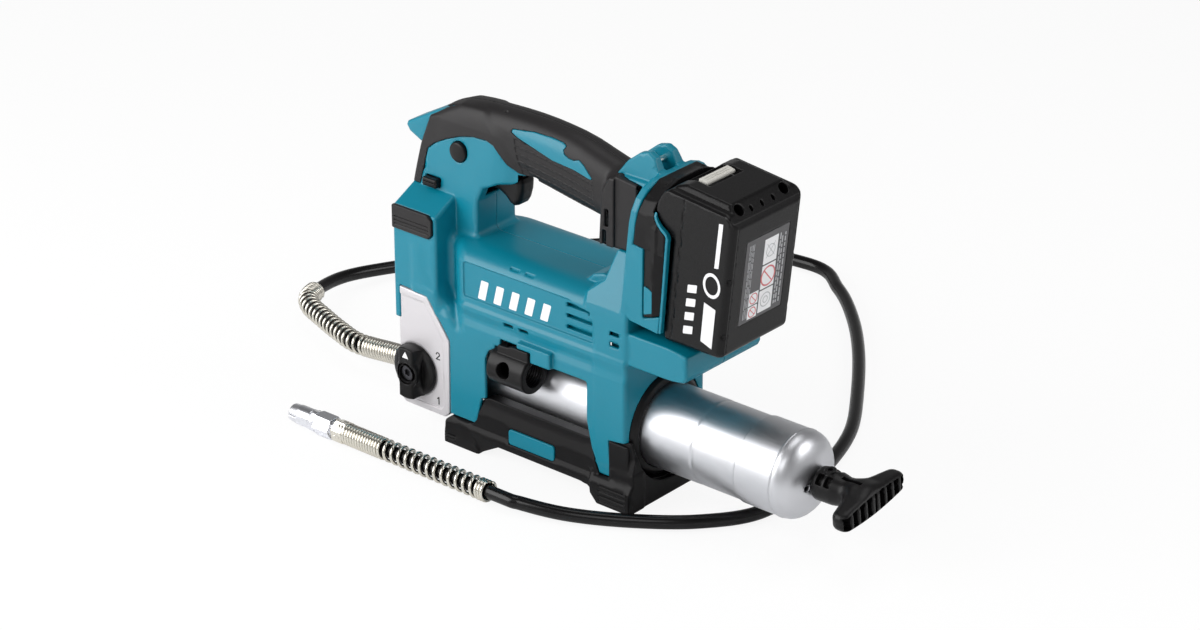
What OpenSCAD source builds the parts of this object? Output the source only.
// Cordless grease gun, millimetres. X runs along the grease barrel towards the T-handle, Z is up,
// and the origin lies on the floor under the middle of the front face.

/* [Grease barrel] */
// Height of the barrel axis above the floor
barrel_z = 52.4; // [52:0.1:53]
// Outer radius of the barrel tube
barrel_r = 31.15; // [30.9:0.05:31.2]
// Wall thickness of the barrel tube
barrel_wall = 1.5; // [1.2:0.1:2]
// Rear end of the barrel tube, inside the cap
barrel_rear = 322; // [318:1:326]
// Top of the domed cap
dome_x = 354; // [352:0.5:355]
// Radius of the T-handle neck
neck_r = 13; // [12:0.1:13.5]
// Rear face of the T bar
t_bar_rear = 403; // [400:1:406]
// Length of the T bar
t_bar_len = 70; // [64:1:74]

/* [Housing] */
// Half width of the housing shells
body_half = 43; // [42.5:0.1:43.5]
// Wall thickness of the moulded shells
wall = 2.6; // [2:0.1:3]
// Height of the flat deck in front of the battery
deck_z = 156; // [155:0.5:157]
// Height of the motor axis
motor_z = 128; // [127.8:0.1:128.2]
// Height of the crank axis
crank_z = 106; // [105.8:0.1:106.2]

/* [Pump] */
// Throw of the crank pin, half the plunger stroke
crank_throw = 4; // [3:0.5:4]
// Radius of the high-pressure plunger
plunger_r = 4.5; // [4:0.1:4.8]
// Height of the grease outlet
outlet_z = 27; // [26.5:0.1:27.5]

/* [Handle] */
// Half width of the oval handle
grip_half_w = 16; // [15:0.5:17]
// Half height of the oval handle
grip_half_h = 22.5; // [21:0.5:23]

/* [Battery] */
// Width of the battery pack
battery_w = 75; // [72:1:76]
// Height of the battery pack along its slide
battery_h = 113; // [110:1:114]
// Depth of the battery pack
battery_d = 52; // [50:1:53]
// Backward lean of the battery and its mount
battery_tilt = 6.1; // [5:0.1:7]

/* [Hose] */
// Outer radius of the hose
hose_r = 5; // [4.5:0.1:5.2]
// Outer radius of the spring guards
guard_r = 8.2; // [7.8:0.1:8.4]
// Radius of the spring guard wire
guard_wire = 1.1; // [0.9:0.1:1.2]
// Sideways place of the outlet end of the hose
outlet_y = -96; // [-100:1:-94]

/* [Fits] */
// Gap between parts that are fastened together
gap = 0.2; // [0.1:0.05:0.3]
// Radial clearance of a shaft that turns in its hole
run = 0.05; // [0.02:0.01:0.08]

/* [Hidden] */

$fn = 64;
// Longer than anything, and wider than anything that is cut
far = 500;
clear_of = 90;
teal = [0.10, 0.52, 0.60];
black = [0.12, 0.12, 0.13];
grey = [0.25, 0.25, 0.26];
steel = [0.75, 0.76, 0.78];
cast = [0.80, 0.80, 0.80];
brass = [0.78, 0.62, 0.32];

// ---- shared shapes ----

// Outline in X and Z, drawn out to half width half on both sides of the middle plane
module side_prism(half, outline) {
    translate([0, half, 0]) rotate([90, 0, 0]) linear_extrude(2 * half) polygon(outline);
}

// The same between two places along Y
module side_slab(y0, y1, outline) {
    translate([0, y1, 0]) rotate([90, 0, 0]) linear_extrude(y1 - y0) polygon(outline);
}

// Outline in Y and Z, drawn out along X and pulled in by inset on every side
module cross_prism(x0, x1, inset, outline) {
    translate([x0 + inset, 0, 0]) rotate([90, 0, 90])
        linear_extrude(x1 - x0 - 2 * inset) offset(delta = -inset) polygon(outline);
}

module x_rod(x0, x1, r, y = 0, z = 0) {
    translate([x0, y, z]) rotate([0, 90, 0]) cylinder(h = x1 - x0, r = r);
}

module y_rod(y0, y1, r, x = 0, z = 0) {
    translate([x, y1, z]) rotate([90, 0, 0]) cylinder(h = y1 - y0, r = r);
}

module z_rod(z0, z1, r, x = 0, y = 0) {
    translate([x, y, z0]) cylinder(h = z1 - z0, r = r);
}

module block(x0, x1, y0, y1, z0, z1) {
    translate([x0, y0, z0]) cube([x1 - x0, y1 - y0, z1 - z0]);
}

// Its children on one side, and mirrored on the other
module both_sides() {
    children();
    mirror([0, 1, 0]) children();
}

module x_tube(x0, x1, r_out, r_in, y = 0, z = 0) {
    difference() {
        x_rod(x0, x1, r_out, y, z);
        x_rod(x0 - 1, x1 + 1, r_in, y, z);
    }
}

// Keeps the half of its children on one side of the middle plane: side is -1 or 1
module half_of(side) {
    intersection() {
        children();
        translate([-far, side < 0 ? -far - gap / 4 : gap / 4, -far]) cube([2 * far, far, 2 * far]);
    }
}

// Outline of a gear with straight-sided teeth of module 1
pinion_teeth = 10;
gear_teeth = 34;
function gear_outline(teeth, turn = 0) = [for (i = [0 : teeth - 1], k = [0 : 3])
    let (share = [-0.29, -0.11, 0.11, 0.29][k], r = teeth / 2 + (k == 1 || k == 2 ? 0.9 : -1.2),
        a = 360 * (i + share) / teeth + turn) [r * cos(a), r * sin(a)]];

function unit(v) = v / norm(v);

// Point of a smooth curve through a list of points, at place t counted in points
function curve_at(p, t) = let (i = max(0, min(floor(t), len(p) - 2)), f = t - i,
    a = p[max(i - 1, 0)], b = p[i], c = p[i + 1], d = p[min(i + 2, len(p) - 1)])
    0.5 * ((2 * b) + (c - a) * f + (2 * a - 5 * b + 4 * c - d) * f * f
        + (3 * b - a - 3 * c + d) * f * f * f);

// Round bar along a path. ref holds one vector per point that is never along the path.
module bar_along(path, refs, r, n) {
    m = len(path);
    points = [for (i = [0 : m - 1])
        let (t = unit(path[min(i + 1, m - 1)] - path[max(i - 1, 0)]),
            s = unit(cross(t, refs[i])), b = cross(t, s))
        for (j = [0 : n - 1]) path[i] + r * (cos(360 * j / n) * s + sin(360 * j / n) * b)];
    sides = [for (i = [0 : m - 2], j = [0 : n - 1])
        let (a = i * n + j, b = i * n + (j + 1) % n) each [[a, a + n, b + n], [a, b + n, b]]];
    ends = [[for (j = [0 : n - 1]) j], [for (j = [n - 1 : -1 : 0]) (m - 1) * n + j]];
    polyhedron(points, concat(sides, ends), convexity = 10);
}

// Coil spring along X
module x_coil(x0, x1, coil_r, wire_r, turns, steps = 14, n = 6) {
    count = round(turns * steps);
    path = [for (i = [0 : count]) let (a = 360 * i / steps)
        [x0 + wire_r + (x1 - x0 - 2 * wire_r) * i / count, coil_r * cos(a), coil_r * sin(a)]];
    bar_along(path, [for (p = path) [1, 0, 0]], wire_r, n);
}

// ---- housing ----

plate = [[6, 110], [33, 109], [54, 80], [53, 22], [49, 18], [10, 18], [5, 22], [5, 84], [6, 84]];
front_section = [[-43, 70], [-43, 172], [-22, 182], [22, 182], [43, 172], [43, 70]];
main_section = [[-43, 22], [-43, 104], [-41, 109], [-43, 114], [-41, 118], [-41, 145], [-37, 151],
    [-20, deck_z], [20, deck_z], [37, 151], [41, 145], [41, 118], [43, 114], [41, 109], [43, 104],
    [43, 22]];
rear_section = [[-43, 22], [-43, 104], [-41, 118], [-41, 150], [-22, 185], [22, 185], [41, 150],
    [41, 118], [43, 104], [43, 22]];
ledge_section = [[-41, 113], [-41, 136], [41, 136], [41, 113], [36, 109], [-36, 109]];
column_side = [[-2, 176], [6, 213], [13, 236], [40, 250.5], [62, 250.5], [86, 228], [97, 214],
    [108, 214], [108, 206], [64, 200], [62, 150], [0, 150]];
column_section = [[-22, 150], [-22, 182], [-18.5, 214], [-16, 236], [-9, 251], [9, 251], [16, 236],
    [18.5, 214], [22, 182], [22, 150]];
teal_side = [[8, 150], [8, 183], [14, 211], [38, 227], [57, 231], [72, 230], [83, 219], [97, 209.5],
    [109, 209.5], [109, 190], [64, 150]];
// Leaning places of the mounting flange, of the front edge of its mouth and of the cheeks
flange_x = -78.2;
flange_front_x = -86;
mouth_x = -55;
cheek_top = 10;
cheek_y = 39.6;
mount_foot = -57.5;
// Strap pin in X and Z, and the two sides of a strap lug
lug_pin = [211, 250];
lug_pin_r = 2.5;
lug_y = [6, 14];
arch = [[-41.6, -57], [-41.6, 20], [-37, 33], [-27, 41], [-13, 45], [13, 45], [27, 41], [37, 33],
    [41.6, 20], [41.6, -57]];

// What the battery and the front of its mount take out of the housing, in leaning places
module battery_room() {
    block(flange_x, 0, -37.8, 37.8, mount_foot, clear_of);
    block(flange_x, 0, -clear_of, clear_of, cheek_top, clear_of);
    block(mouth_x, 0, -clear_of, clear_of, mount_foot, clear_of);
}

module body_outer(d) {
    cross_prism(0, 46, d, front_section);
    cross_prism(40, 216, d, main_section);
    cross_prism(176, 218, d, rear_section);
    cross_prism(205, 271, d, ledge_section);
    column_outer(d);
}

module column_outer(d) {
    intersection() {
        translate([0, 50, 0]) rotate([90, 0, 0]) linear_extrude(100) offset(delta = -d) polygon(column_side);
        cross_prism(-20 - d, 130 + d, d, column_section);
    }
}

// The lean of the battery and its mount, about the middle of the battery's rear face
module leaning() {
    translate([302.3, 0, 193.7]) rotate([0, battery_tilt, 0]) children();
}

// Inner and outer face of the base rails
rail_y = [34, 46];
module rail_side() {
    polygon([[51, 0], [82, 0], [102, 11.6], [178, 11.6], [190, 8], [200, 0], [226, 0], [226, 40],
        [222, 54], [203, 50], [205, 22], [195, 21], [186, 40], [184, 45], [87, 45], [80, 28], [76, 22],
        [56, 22], [51, 18]]);
}

module rails(d) {
    both_sides() translate([0, rail_y[1], 0]) rotate([90, 0, 0])
        linear_extrude(rail_y[1] - rail_y[0]) offset(delta = d) rail_side();
}

// Axis of the coupler holder and radius of its bore
holder_y = -39.5;
holder_z = 76.3;
holder_r = 14.3;
holder_bore_r = 9;
module holder_outer(d) {
    x_rod(98 - d, 131.5 + d, holder_r + d, holder_y, holder_z);
    block(103 - d, 131.5 + d, -47 - d, -34 + d, 84 - d, 96 + d);
}

// Air slot through both sides of the housing
vent_half_h = 1.2;
module vent(x0, x1, z) {
    for (side = [-1, 1])
        block(x0, x1, side * 42 - 6, side * 42 + 6, z - vent_half_h, z + vent_half_h);
}

// Collar around the barrel, between the housing and the cap
collar_r = 39.2;
collar_x = [210, 221];

// Room for the barrel and its collar, starting at collar place x0
module barrel_room(x0) {
    x_rod(30, 300, barrel_r + 1, 0, barrel_z);
    x_rod(x0, 230, collar_r + gap, 0, barrel_z);
}

// Everything that the shells leave room for
module housing_cuts() {
    side_prism(60, [for (p = plate) [p[0] > 20 ? p[0] + gap : p[0] - gap, p[1] + (p[1] > 60 ? gap : -gap)]]);
    side_prism(60, [[-1, 10], [-1, 84], [8, 84], [8, 10]]);
    block(-1, 53.9, -60, 60, 10, 60);
    barrel_room(collar_x[0] - 0.5);
    block(88, 183, -60, 60, 45, 89);
    rails(gap);
    block(205, 300, -60, 60, 10, 50);
    block(80, 187, -60, 60, 10, 46);
    holder_outer(gap);
    for (x = [106, 120]) for (z = [109, 151]) vent(x, x + 8.5, z);
    for (z = [124, 132, 141]) vent(161, 184, z);
    leaning() battery_room();
    trigger_room();
    y_rod(-17.1, 17.1, trigger_pin_r + run, trigger_pivot[0], trigger_pivot[1]);
    y_rod(-40, 0, lock_on_r + run, lock_on_at[0], lock_on_at[1]);
    trigger_lock_bar(-40, 40, gap);
    for (side = [-1, 1]) translate([0, side * body_half, 0]) side_prism(1.5, pad_side(gap));
}

function pad_side(d) = [[1 - d, 155 - d], [1 - d, 173 + d], [36, 173 + d], [39 + d, 170], [39 + d, 158],
    [36, 155 - d]];

// Lock-on button in X and Z, and the cross bar of the trigger lock
lock_on_at = [43, 216];
lock_on_r = 7.6;
module trigger_lock_bar(y0, y1, d) {
    block(13 - d, 27 + d, y0, y1, 184.5 - d, 191.5 + d);
}

module trigger_room() {
    side_prism(12.5, [[56, 182], [57, 206], [112, 212], [112, 182]]);
}

screw_points = [[24, 146], [146, 146], [148, 104], [196, 150], [196, 104]];
screw_r = 2;
screw_head_r = 4;
module screw_bosses() {
    for (p = screw_points) y_rod(-42, 42, 5, p[0], p[1]);
}

// Solid flange behind the battery mount, with a cheek on each side and the two strap lugs
module rear_flange() {
    leaning() {
        cross_prism(flange_front_x, flange_x + 1, 0, arch);
        difference() {
            for (y = [-cheek_y, cheek_y])
                block(flange_x - 1, mouth_x + 1, y - 1.9, y + 1.9, -52, cheek_top + 1);
            latch_inserts(gap);
        }
    }
    both_sides() side_slab(lug_y[0], lug_y[1], [[205, 235], [205, 250], [207.5, 256], [212, 257],
        [217, 253], [222, 244], [222, 232], [212, 225]]);
}

module latch_inserts(d) {
    for (y = [0.1 - cheek_y, cheek_y - 0.1])
        block(-70 - d, mouth_x - 1 + d, y - 2.5 - d, y + 2.5 + d, -41 - d, cheek_top + 1);
}

module housing_shell() {
    difference() {
        union() {
            difference() {
                body_outer(0);
                body_outer(wall);
            }
            intersection() {
                screw_bosses();
                body_outer(0.5);
            }
            rear_flange();
        }
        housing_cuts();
        loop_room(gap / 2);
        y_rod(-40, 40, lug_pin_r + run, lug_pin[0], lug_pin[1]);
        for (p = screw_points) {
            y_rod(-30, 50, screw_r + 0.1, p[0], p[1]);
            y_rod(36, 50, screw_head_r + gap, p[0], p[1]);
        }
    }
}

module housing_left() { color(teal) half_of(-1) housing_shell(); }
module housing_right() { color(teal) half_of(1) housing_shell(); }

module housing_screws() {
    color(steel) for (p = screw_points) difference() {
        union() {
            y_rod(-26, 37, screw_r, p[0], p[1]);
            y_rod(36.2, 39, screw_head_r, p[0], p[1]);
        }
        y_rod(37.5, 40, 1.6, p[0], p[1]);
    }
}

module bumper_pads() {
    color(grey) for (side = [-1, 1]) difference() {
        translate([0, side * 43.4, 0]) side_prism(1.6, pad_side(0));
        for (z = [158, 161.5, 165]) block(4, 35, side * 45.2 - 0.8, side * 45.2 + 0.8, z - 0.6, z + 0.6);
    }
}

// ---- handle ----

// Bends of the handle's middle line, in X and Z
grip_line = [[56, 230], [90, 231.5], [140, 226], [196, 214]];

module handle_run(d) {
    for (i = [0 : len(grip_line) - 2]) {
        from = grip_line[i];
        step = grip_line[i + 1] - from;
        translate([from[0], 0, from[1]]) rotate([0, -atan2(step[1], step[0]), 0]) rotate([90, 0, 90])
            translate([0, 0, -2]) linear_extrude(norm(step) + 4) polygon([for (a = [11.25 : 22.5 : 359])
                [(grip_half_w - d) * cos(a) / cos(11.25), (grip_half_h - d) * sin(a) / cos(11.25)]]);
    }
}

post_side = [[174, 170], [190, 174], [190, 186], [204, 190], [204, 238], [198, 243], [182, 241],
    [174, 234]];

// Front lower corners of the upright slots in the post, in X and by their middle in Z
post_slots = [[179, 190.7], [181, 206.7]];
module post_outer(d) {
    translate([0, 22 - d, 0]) rotate([90, 0, 0]) linear_extrude(44 - 2 * d)
        offset(delta = -d) polygon(post_side);
}

module loop_outer(d) {
    column_outer(d);
    handle_run(d);
    post_outer(d);
}

// The room that the dark part of the loop takes out of the housing
module loop_room(d) {
    difference() {
        loop_outer(-d);
        side_prism(40, teal_side);
        block(-20, 172, -60, 60, 100, 182);
    }
}

module grip_shell() {
    difference() {
        loop_outer(0);
        loop_outer(wall);
        translate([0, 40, 0]) rotate([90, 0, 0]) linear_extrude(80) offset(delta = gap / 2)
            polygon(teal_side);
        block(-20, 172, -60, 60, 100, 182.2);
        trigger_room();
        block(83.5, 90.5, -switch_stem - 0.5, switch_stem + 0.5, 200, 218);
        rear_bulk(gap);
        hood_outer(gap);
        for (side = [-1, 1]) for (p = post_slots)
            block(p[0], p[0] + 3.5, side * 22 - 2, side * 22 + 2, p[1] - 6, p[1] + 6);
    }
}

module rear_bulk(d) {
    cross_prism(172, 218, -d, rear_section);
}

module grip_left() { color(grey) half_of(-1) grip_shell(); }
module grip_right() { color(grey) half_of(1) grip_shell(); }

module hood_outer(d) {
    side_slab(-12 - d, 12 + d, [[-14 - d, 220], [-11, 216 - d], [0, 210 - d], [4.5, 212 - d], [11, 234.5],
        [38, 247 - d], [40 + d, 251 + d], [34, 250 + d], [-13, 223 + d]]);
}

module lamp_hood() {
    color(teal) difference() {
        hood_outer(0);
        side_slab(-9, 9, [[-9, 214], [-9, 221], [3, 229], [3, 205], [-9, 205]]);
    }
}

module lamp_lens() {
    color([0.9, 0.95, 1]) side_slab(-8.8, 8.8, [[-8.7, 216.2], [-8.7, 218.5], [2.6, 214], [2.6, 211.8]]);
}

module lamp_board() {
    color([0.1, 0.4, 0.2]) union() {
        side_slab(-8.6, 8.6, [[-6, 220.4], [-6, 222], [2.6, 221], [2.6, 219.4]]);
        z_rod(218.2, 221, 1.5, -2, 0);
    }
}

// ---- trigger and its buttons ----

// Trigger pin in X and Z
trigger_pivot = [61, 197];
trigger_pin_r = 2;
module trigger() {
    color(black) difference() {
        side_slab(-11.5, 11.5, [[58, 193], [58, 200], [64, 202], [99, 205], [99, 196], [94, 186],
            [89, 184], [80, 188], [70, 193]]);
        y_rod(-20, 20, trigger_pin_r + run, trigger_pivot[0], trigger_pivot[1]);
        side_slab(-9.5, 9.5, [[66, 196], [66, 206], [95, 208], [95, 196], [88, 190], [80, 192]]);
    }
}

module trigger_pin() {
    color(steel) y_rod(-17, 17, trigger_pin_r, trigger_pivot[0], trigger_pivot[1]);
}

// Half width of the stem between trigger and switch
switch_stem = 3;
module switch_unit() {
    color(black) union() {
        block(66, 94, -8.5, 8.5, 218.5, 232);
        block(84, 90, -switch_stem, switch_stem, 195.4, 219);
    }
}

module lock_on_button() {
    color(black) union() {
        y_rod(-20.6, -4, lock_on_r, lock_on_at[0], lock_on_at[1]);
        y_rod(-4.5, 6, 3, lock_on_at[0], lock_on_at[1]);
    }
}

module trigger_lock_button() {
    color(black) trigger_lock_bar(-25, 22, 0);
}

// ---- base, collar, holder ----

module base_frame() {
    color(black) difference() {
        union() {
            intersection() {
                rails(0);
                cross_prism(40, 240, 0, [[-46, 0], [-46, 19], [-44, 30], [-41, 36], [-41, 56], [41, 56],
                    [41, 36], [44, 30], [46, 19], [46, 0]]);
            }
            foot(51, 82, 47.6);
            foot(200, 226, 48.9);
        }
        barrel_room(collar_x[0] - 2);
        insert_pockets(gap);
    }
}

// One cross foot with grip ribs at its ends
module foot(x0, x1, half) {
    difference() {
        cross_prism(x0, x1, 0, [[-half, 0], [-half, 13], [-44, 18], [44, 18], [half, 13], [half, 0]]);
        for (side = [-1, 1]) for (z = [3, 6, 9])
            block(x0 + 2, x1 - 2, side * half - 0.7, side * half + 0.7, z - 0.6, z + 0.6);
    }
}

module insert_pockets(d) {
    for (side = [-1, 1]) translate([0, side * 44.6, 0])
        side_prism(1.2 + d, [[111 - d, 19], [113, 17 - d], [152, 17 - d], [154 + d, 19], [154 + d, 27],
            [152, 29 + d], [113, 29 + d], [111 - d, 27]]);
}

module base_inserts() { color(teal) insert_pockets(0); }

module barrel_collar() {
    color(black) difference() {
        x_rod(collar_x[0], collar_x[1], collar_r, 0, barrel_z);
        x_rod(200, 230, 31.8, 0, barrel_z);
    }
}

module coupler_holder() {
    color(black) difference() {
        holder_outer(0);
        x_rod(104, 140, holder_bore_r, holder_y, holder_z);
        y_rod(-60, -45, 6, 113, holder_z + 2);
    }
}

// ---- pump head ----

// Bottom of the barrel socket, and the vertical plunger bore
socket_x = 36;
bore_x = 22;
// Middle of the speed dial in X and Z, its radius, the face of its handle and its screw head
dial_x = 20;
dial_z = 47.3;
dial_r = 20.2;
dial_top = -54.4;
dial_screw_r = 6.2;
spindle_r = 6;
// Relief and bleeder valves in X and Z with the radius of their threads
relief_at = [20, 70];
relief_r = 5;
bleeder_at = [20, 35];
bleeder_r = 4;
// Check valve seat in the outlet
seat_x = 15;
seat_r = 3;
outlet_r = 5;
module pump_head() {
    color(cast) difference() {
        side_prism(body_half + 0.8, plate);
        block(12, socket_x - 1, -20.5, 20.5, 84, 120);
        block(socket_x - 1.1, 60, -20.5, 20.5, 86.2, 120);
        x_rod(socket_x, 60, barrel_r + 0.15, 0, barrel_z);
        z_rod(outlet_z - 4, 90, plunger_r + run, bore_x);
        z_rod(80, 90, 8.2, bore_x);
        x_rod(bore_x, socket_x + 1, 4, 0, barrel_z);
        x_rod(seat_x, bore_x, seat_r, 0, outlet_z);
        x_rod(0, seat_x + 1, outlet_r, 0, outlet_z);
        dial_disc(-60, -24, spindle_r + run);
        dial_disc(-60, -42.6, dial_r + 2 * gap);
        y_rod(28, 60, relief_r + 0.1, relief_at[0], relief_at[1]);
        y_rod(28, 60, bleeder_r + 0.1, bleeder_at[0], bleeder_at[1]);
    }
}

module speed_dial() {
    color(black) difference() {
        union() {
            dial_disc(-45.6, -42.9, dial_r);
            dial_disc(-53.4, -45, 10.5);
            intersection() {
                dial_disc(dial_top, -45, dial_r);
                translate([dial_x, 0, dial_z]) cube([14, 140, 60], center = true);
            }
        }
        dial_disc(-60, -48, dial_screw_r + gap);
        dial_disc(-55, -40, 2.1);
    }
}

module dial_disc(y0, y1, r) {
    y_rod(y0, y1, r, dial_x, dial_z);
}

module dial_screw() {
    color(steel) difference() {
        union() {
            dial_disc(-52, -48.1, dial_screw_r);
            dial_disc(-49, -34, 2);
        }
        translate([dial_x, -49.5, dial_z]) rotate([90, 0, 0]) cylinder(h = 4, r = 2.8, $fn = 6);
    }
}

module dial_spindle() {
    color(steel) difference() {
        dial_disc(-42.7, -24.4, spindle_r);
        dial_disc(-44, -33, 2.1);
    }
}

// Crank pin, and half the height of the yoke window that it turns in
crank_pin_r = 3;
yoke_half = crank_pin_r + 2 * crank_throw + 0.4;
module plunger() {
    color(steel) difference() {
        union() {
            z_rod(58, 92, plunger_r, bore_x);
            block(18.5, 25.5, -12, 12, 90, 122);
        }
        block(17, 27, -7.8, 7.8, crank_z - yoke_half, crank_z + yoke_half);
    }
}

module plunger_seal() {
    color(black) difference() {
        z_rod(80.2, 83.9, 8, bore_x);
        z_rod(80, 85, plunger_r + run, bore_x);
    }
}

ball_r = 4;
module check_ball() {
    color(steel) translate([seat_x - sqrt(ball_r * ball_r - seat_r * seat_r) - 0.05, 0, outlet_z])
        sphere(r = ball_r);
}

module check_spring() {
    color(steel) translate([0, 0, outlet_z]) x_coil(1.6, 8.2, 2.6, 0.4, 4, 12, 6);
}

module relief_valve() {
    color(brass) difference() {
        union() {
            y_rod(29, 44, relief_r, relief_at[0], relief_at[1]);
            translate([relief_at[0], 52, relief_at[1]]) rotate([90, 0, 0])
                cylinder(h = 8, r = 7.5, $fn = 6);
        }
        y_rod(46, 53, 2.5, relief_at[0], relief_at[1]);
    }
}

module bleeder_valve() {
    color(steel) union() {
        y_rod(30, 44, bleeder_r, bleeder_at[0], bleeder_at[1]);
        y_rod(46, 51, 6, bleeder_at[0], bleeder_at[1]);
        y_rod(40, 47, 3, bleeder_at[0], bleeder_at[1]);
    }
}

// ---- barrel ----

module barrel() {
    color(steel) x_tube(socket_x + 2, barrel_rear, barrel_r, barrel_r - barrel_wall, 0, barrel_z);
}

module barrel_gasket() {
    color(black) x_tube(socket_x + 0.2, socket_x + 1.9, barrel_r, 26, 0, barrel_z);
}

module barrel_cap() {
    cap_r = barrel_r + 0.75;
    dome_start = 336;
    depth = dome_x - dome_start;
    profile = concat([[barrel_r + 0.02, 306], [cap_r, 306], [cap_r, dome_start]],
        [for (a = [15 : 15 : 75]) [cap_r * cos(a), dome_start + depth * sin(a)]],
        [[rod_r + run, dome_x], [rod_r + run, dome_x - 2.5]],
        [for (a = [75 : -15 : 0]) [(cap_r - 2) * cos(a), dome_start + (depth - 2.5) * sin(a)]],
        [[cap_r - 2, barrel_rear + 1], [barrel_r + 0.02, barrel_rear + 1]]);
    color(steel) difference() {
        translate([0, 0, barrel_z]) rotate([0, 90, 0]) rotate_extrude($fn = 96) polygon(profile);
        translate([342, -14, barrel_z + 4]) rotate([90, 0, 0]) cylinder(h = 30, r = 2.5);
    }
}

// Front face of the follower with the tube empty, and radius of its rod
follower_x = 62;
rod_r = 4;
module follower() {
    inner = barrel_r - barrel_wall;
    color(black) difference() {
        union() {
            x_rod(follower_x, follower_x + 6, inner - 0.08, 0, barrel_z);
            x_rod(follower_x + 6, follower_x + 12, inner - 4, 0, barrel_z);
            x_rod(follower_x + 12, follower_x + 16, inner - 0.08, 0, barrel_z);
        }
        x_rod(follower_x + 6, far, rod_r + run, 0, barrel_z);
    }
}

module follower_spring() {
    color(steel) translate([0, 0, barrel_z]) x_coil(follower_x + 16.3, 333, 22, 1.2, 24, 14, 6);
}

module follower_rod() {
    color(steel) x_rod(follower_x + 8, 392, rod_r, 0, barrel_z);
}

bar_turn = 7.5;
module t_handle() {
    half = t_bar_len / 2;
    bar = [[380, -10], [380, 10], [384, 12], [t_bar_rear - 3, 12], [t_bar_rear, 9], [t_bar_rear, -9],
        [t_bar_rear - 3, -12], [384, -12]];
    color(black) translate([0, 0, barrel_z]) rotate([bar_turn, 0, 0]) difference() {
        union() {
            x_rod(dome_x + 1.5, 372, neck_r);
            translate([372, 0, 0]) rotate([0, 90, 0]) cylinder(h = 9, r1 = neck_r, r2 = 10);
            intersection() {
                side_slab(-half, half, bar);
                translate([378, 0, 0]) rotate([0, 90, 0]) linear_extrude(30) polygon([for (a = [0 : 15 : 345])
                    [12 * sign(cos(a)) * pow(abs(cos(a)), 0.6), half * sign(sin(a)) * pow(abs(sin(a)), 0.6)]]);
            }
        }
        x_rod(300, 392.2, rod_r + 0.1);
        for (i = [-4 : 4]) translate([t_bar_rear, i * 7, 0]) cube([6, 4.6, 15], center = true);
        for (side = [-1, 1]) translate([363, side * 13, 0]) cube([8, 8, 11], center = true);
    }
}

// ---- hose ----

outlet_h = 8.6;
hose_points = [[-14.8, 0, 26.5], [-45, 0.5, 23], [-80, 0.5, 20], [-108, 9, 18.5], [-134, 19, 17.5],
    [-161, 31, 16.5], [-175, 49, 15.5], [-182, 90, 12.5], [-168, 138, 9], [-138, 198, 6.5], [-90, 265, 6],
    [-20, 330, 6], [75, 357, 6], [119, 335, 6], [160, 299, 6], [200, 253, 6], [242, 195, 6],
    [271, 149, 6], [288, 105, 6], [298, 60, 6], [298, 7, 6], [275, -30, 6], [240, -59, 6],
    [200, -82, 6.5], [165, outlet_y + 2.5, 8], [140, outlet_y, outlet_h], [-14, outlet_y, outlet_h]];
hose_steps = 4;
hose_path = [for (i = [0 : (len(hose_points) - 1) * hose_steps]) curve_at(hose_points, i / hose_steps)];

module hose() {
    color(black) bar_along(hose_path, [for (p = hose_path) [0, 0, 1]], hose_r, 12);
}

// Coil guard around a stretch of the hose, from point place t0 to t1
module coil_along(t0, t1, turns, steps = 12) {
    count = round(turns * steps);
    middle = [for (i = [0 : count]) curve_at(hose_points, t0 + (t1 - t0) * i / count)];
    tang = [for (i = [0 : count]) unit(middle[min(i + 1, count)] - middle[max(i - 1, 0)])];
    path = [for (i = [0 : count]) let (s = unit(cross(tang[i], [0, 0, 1])), b = cross(tang[i], s),
        a = 360 * i / steps) middle[i] + (guard_r - guard_wire) * (cos(a) * s + sin(a) * b)];
    bar_along(path, tang, guard_wire, 6);
}

// Tube standing for closely wound turns, along a stretch of the hose
module close_coil(t0, t1, count = 6) {
    path = [for (i = [0 : count]) curve_at(hose_points, t0 + (t1 - t0) * i / count)];
    difference() {
        bar_along(path, [for (p = path) [0, 0, 1]], guard_r, 20);
        bar_along([for (i = [0 : count + 2])
            curve_at(hose_points, t0 + (t1 - t0) * (i - 1) / count)],
            [for (i = [0 : count + 2]) [0, 0, 1]], hose_r + 0.35, 16);
    }
}

module inlet_guard() {
    color(steel) union() {
        close_coil(0.1, 2);
        coil_along(1.9, 5.2, 11);
        close_coil(5.1, 5.8);
    }
}

module outlet_guard() {
    color(steel) translate([0, outlet_y, outlet_h]) union() {
        x_tube(-14, 40, guard_r, hose_r + 0.35);
        x_coil(38, 130, guard_r - guard_wire, guard_wire, 12);
        x_tube(128, 138, guard_r, hose_r + 0.35);
    }
}

module hose_fitting() {
    color(brass) union() {
        x_rod(-5, 1.2, 4.95, 0, outlet_z);
        translate([-11, 0, outlet_z]) rotate([0, 90, 0]) cylinder(h = 7, r = 9, $fn = 6);
        x_rod(-13.8, -5, 4.9, 0, outlet_z);
    }
}

// Radius of the coupler's stem
stem_r = 4.4;
module coupler_body() {
    z = outlet_h;
    color(steel) difference() {
        union() {
            translate([-27, outlet_y, z]) rotate([0, 90, 0]) cylinder(h = 12.6, r = 8.4, $fn = 6);
            x_rod(-38, -26, stem_r, outlet_y, z);
        }
        x_rod(-60, -10, 1.5, outlet_y, z);
    }
}

module coupler_sleeve() {
    z = outlet_h;
    color(steel) difference() {
        union() {
            x_rod(-47, -27.3, 7.6, outlet_y, z);
            translate([-52, outlet_y, z]) rotate([0, 90, 0]) cylinder(h = 5, r1 = 6, r2 = 7.6);
        }
        x_rod(-60, -38.2, 3.3, outlet_y, z);
        x_rod(-38.5, -20, stem_r + run, outlet_y, z);
    }
}

// ---- battery ----

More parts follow.
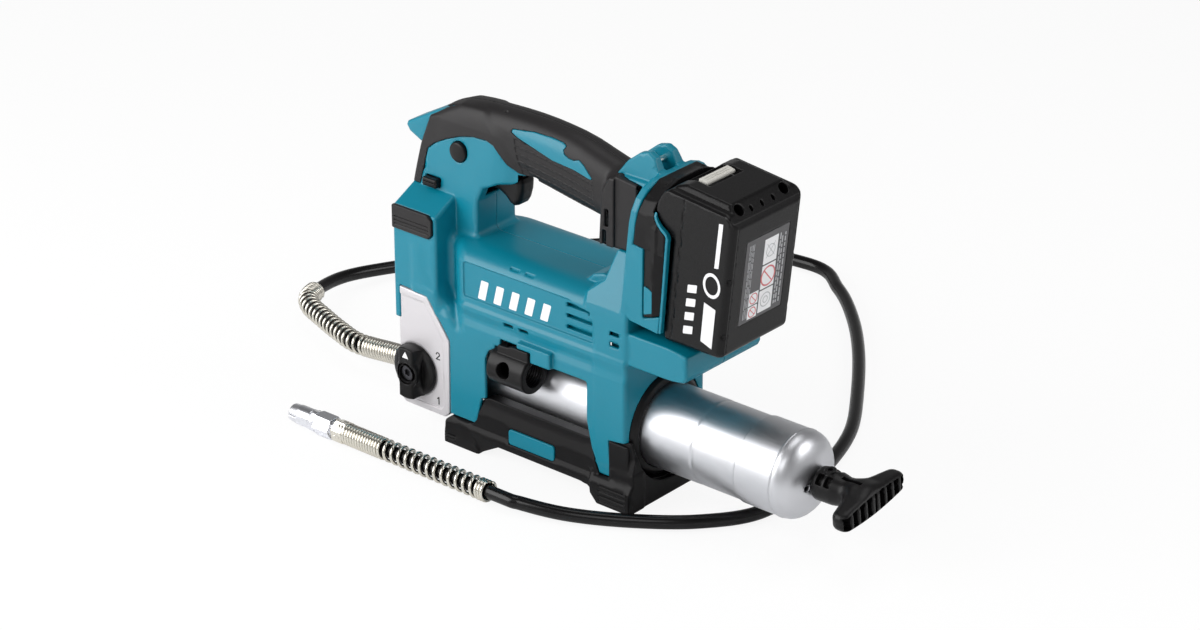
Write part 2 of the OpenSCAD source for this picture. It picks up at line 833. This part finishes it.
half_bw = battery_w / 2;
half_bh = battery_h / 2;
cell_r = 9;
cell_pitch = 18.2;

// Edges of the label on the battery's rear face
label_y = [-21.6, 24.4];
label_z = [-34.2, 29.8];

module rounded_box(x0, x1, half_w, half_h, round_r) {
    translate([x0, 0, 0]) rotate([90, 0, 90]) linear_extrude(x1 - x0)
        offset(r = round_r) square([2 * (half_w - round_r), 2 * (half_h - round_r)], center = true);
}

module battery_case() {
    color(black) leaning() difference() {
        union() {
            rounded_box(-battery_d, 0, half_bw, half_bh, 7);
            block(-battery_d - 6, -battery_d + 1, -25.6, 25.6, -44, 20);
            block(-battery_d - 10, -battery_d - 5.2, -29.6, 29.6, -44, 20);
        }
        translate([0, 0, -2]) rounded_box(3 - battery_d, -3, half_bw - 3, half_bh - 10, 4);
        block(-0.6, 1, label_y[0] - 0.4, label_y[1] + 0.4, label_z[0] - 0.4, label_z[1] + 0.4);
        block(-battery_d - 1, -38, -18, 18, 45, 60);
        for (side = [-1, 1]) block(-battery_d - 11, -battery_d - 2, side * 8 - 1, side * 8 + 1, -45, -18);
    }
}

module battery_button() {
    color([0.55, 0.55, 0.56]) leaning() block(-battery_d + 0.3, -38.5, -17.5, 17.5, 49, half_bh + 0.3);
}

module battery_cells() {
    color([0.3, 0.6, 0.3]) leaning() for (i = [0 : 4], side = [-1, 1])
        translate([-battery_d / 2 + side * 9.4, 32.5, (i - 2) * cell_pitch - 2]) rotate([90, 0, 0])
            cylinder(h = 65, r = cell_r);
}

module battery_label() {
    color(grey) leaning() block(-0.5, -0.05, label_y[0], label_y[1], label_z[0], label_z[1]);
}

module battery_mount() {
    color(black) leaning() difference() {
        union() {
            intersection() {
                cross_prism(flange_x + gap, -battery_d - 2, 0, arch);
                union() {
                    block(-90, 0, -60, 60, cheek_top + gap, 60);
                    block(-90, 0, -37.6, 37.6, -57, 60);
                }
            }
            latch_inserts(0);
        }
        cross_prism(flange_x + 3, -battery_d - 13, 0, [for (p = arch) [p[0] * 0.88, p[1] * 0.93]]);
        block(-battery_d - 10.6, -battery_d - 4.6, -30, 30, -44.5, 60);
        block(-battery_d - 5, -battery_d + 1, -26, 26, -44.5, 60);
        block(-battery_d - 13.5, -battery_d - 10, -16, 16, -46, -8);
    }
}

module terminal_block() {
    color(black) leaning() union() {
        block(-battery_d - 13.2, -battery_d - 10.8, -15, 15, -44, -10);
        for (side = [-1, 1])
            block(-battery_d - 11, -battery_d - 3, side * 8 - 0.5, side * 8 + 0.5, -42, -22);
    }
}

// ---- strap pin ----

module strap_pin() { color(steel) y_rod(-13.6, 13.6, lug_pin_r, lug_pin[0], lug_pin[1]); }

// ---- drive ----

// Outside and bore of the shaft bearings, and the two shafts
bearing_r = 8;
motor_shaft_r = 2.5;
crank_shaft_r = 4;

module motor_can() {
    color(grey) difference() {
        x_rod(71, 131, 22, 0, motor_z);
        x_rod(73.5, 128.5, 18, 0, motor_z);
        x_rod(60, 75, bearing_r + 0.3, 0, motor_z);
        x_rod(125, 140, bearing_r + 0.05, 0, motor_z);
    }
}

module motor_rotor() {
    color(steel) union() {
        x_rod(53.5, 137, motor_shaft_r, 0, motor_z);
        x_rod(80, 116, 17.2, 0, motor_z);
        translate([54, 0, motor_z]) rotate([0, 90, 0]) linear_extrude(9)
            polygon(gear_outline(pinion_teeth));
    }
}

module motor_bearings() {
    color(steel) union() {
        x_tube(65.5, 70, bearing_r, motor_shaft_r + run, 0, motor_z);
        x_tube(128.6, 133, bearing_r, motor_shaft_r + run, 0, motor_z);
    }
}

fan_blades = 11;
module cooling_fan() {
    color(black) translate([118, 0, motor_z]) rotate([0, 90, 0]) difference() {
        union() {
            cylinder(h = 6, r = 6);
            cylinder(h = 1.2, r = 16);
            for (i = [1 : fan_blades]) rotate([0, 0, i * 360 / fan_blades])
                translate([5, -0.6, 0]) cube([11, 1.2, 6]);
        }
        translate([0, 0, -1]) cylinder(h = 10, r = motor_shaft_r + 0.02);
    }
}

module gear_case() {
    color(cast) difference() {
        block(37, 70.5, -20, 20, 86.4, 150);
        block(49, 64, -19, 19, 87.4, 149);
        x_rod(30, 50, bearing_r + 0.05, 0, crank_z);
        x_rod(60, 72, bearing_r + 0.05, 0, motor_z);
    }
}

module crank_gear() {
    color(steel) translate([54.5, 0, crank_z]) rotate([0, 90, 0]) difference() {
        linear_extrude(8) polygon(gear_outline(gear_teeth, 180 / gear_teeth));
        translate([0, 0, -1]) cylinder(h = 10, r = crank_shaft_r + 0.02);
        for (i = [0 : 5]) rotate([0, 0, i * 60]) translate([9.5, 0, -1]) cylinder(h = 10, r = 2.5);
    }
}

module crankshaft() {
    color(steel) union() {
        x_rod(33, 63, crank_shaft_r, 0, crank_z);
        x_rod(28.5, 34, 9, 0, crank_z);
        x_rod(16, 29, crank_pin_r, crank_throw, crank_z);
    }
}

module crank_bearings() {
    color(steel) for (x = [37.4, 43.2]) x_tube(x, x + 5, bearing_r, crank_shaft_r + run, 0, crank_z);
}

module control_board() {
    color([0.1, 0.4, 0.2]) union() {
        block(140, 182, -22, 22, 114, 115.6);
        block(150, 162, -8, 8, 115.5, 122);
        y_rod(-6, 6, 5, 172, 120.4);
    }
}

housing_left();
housing_right();
grip_left();
grip_right();
lamp_hood();
lamp_lens();
lamp_board();
trigger();
trigger_pin();
switch_unit();
lock_on_button();
trigger_lock_button();
bumper_pads();
base_frame();
base_inserts();
barrel_collar();
coupler_holder();
pump_head();
speed_dial();
dial_screw();
dial_spindle();
barrel();
barrel_cap();
barrel_gasket();
follower();
follower_rod();
follower_spring();
t_handle();
hose_fitting();
inlet_guard();
hose();
outlet_guard();
coupler_body();
coupler_sleeve();
battery_case();
battery_button();
battery_cells();
battery_label();
battery_mount();
terminal_block();
strap_pin();
housing_screws();
motor_can();
motor_rotor();
motor_bearings();
cooling_fan();
gear_case();
crank_gear();
crankshaft();
crank_bearings();
plunger();
plunger_seal();
check_ball();
check_spring();
relief_valve();
bleeder_valve();
control_board();
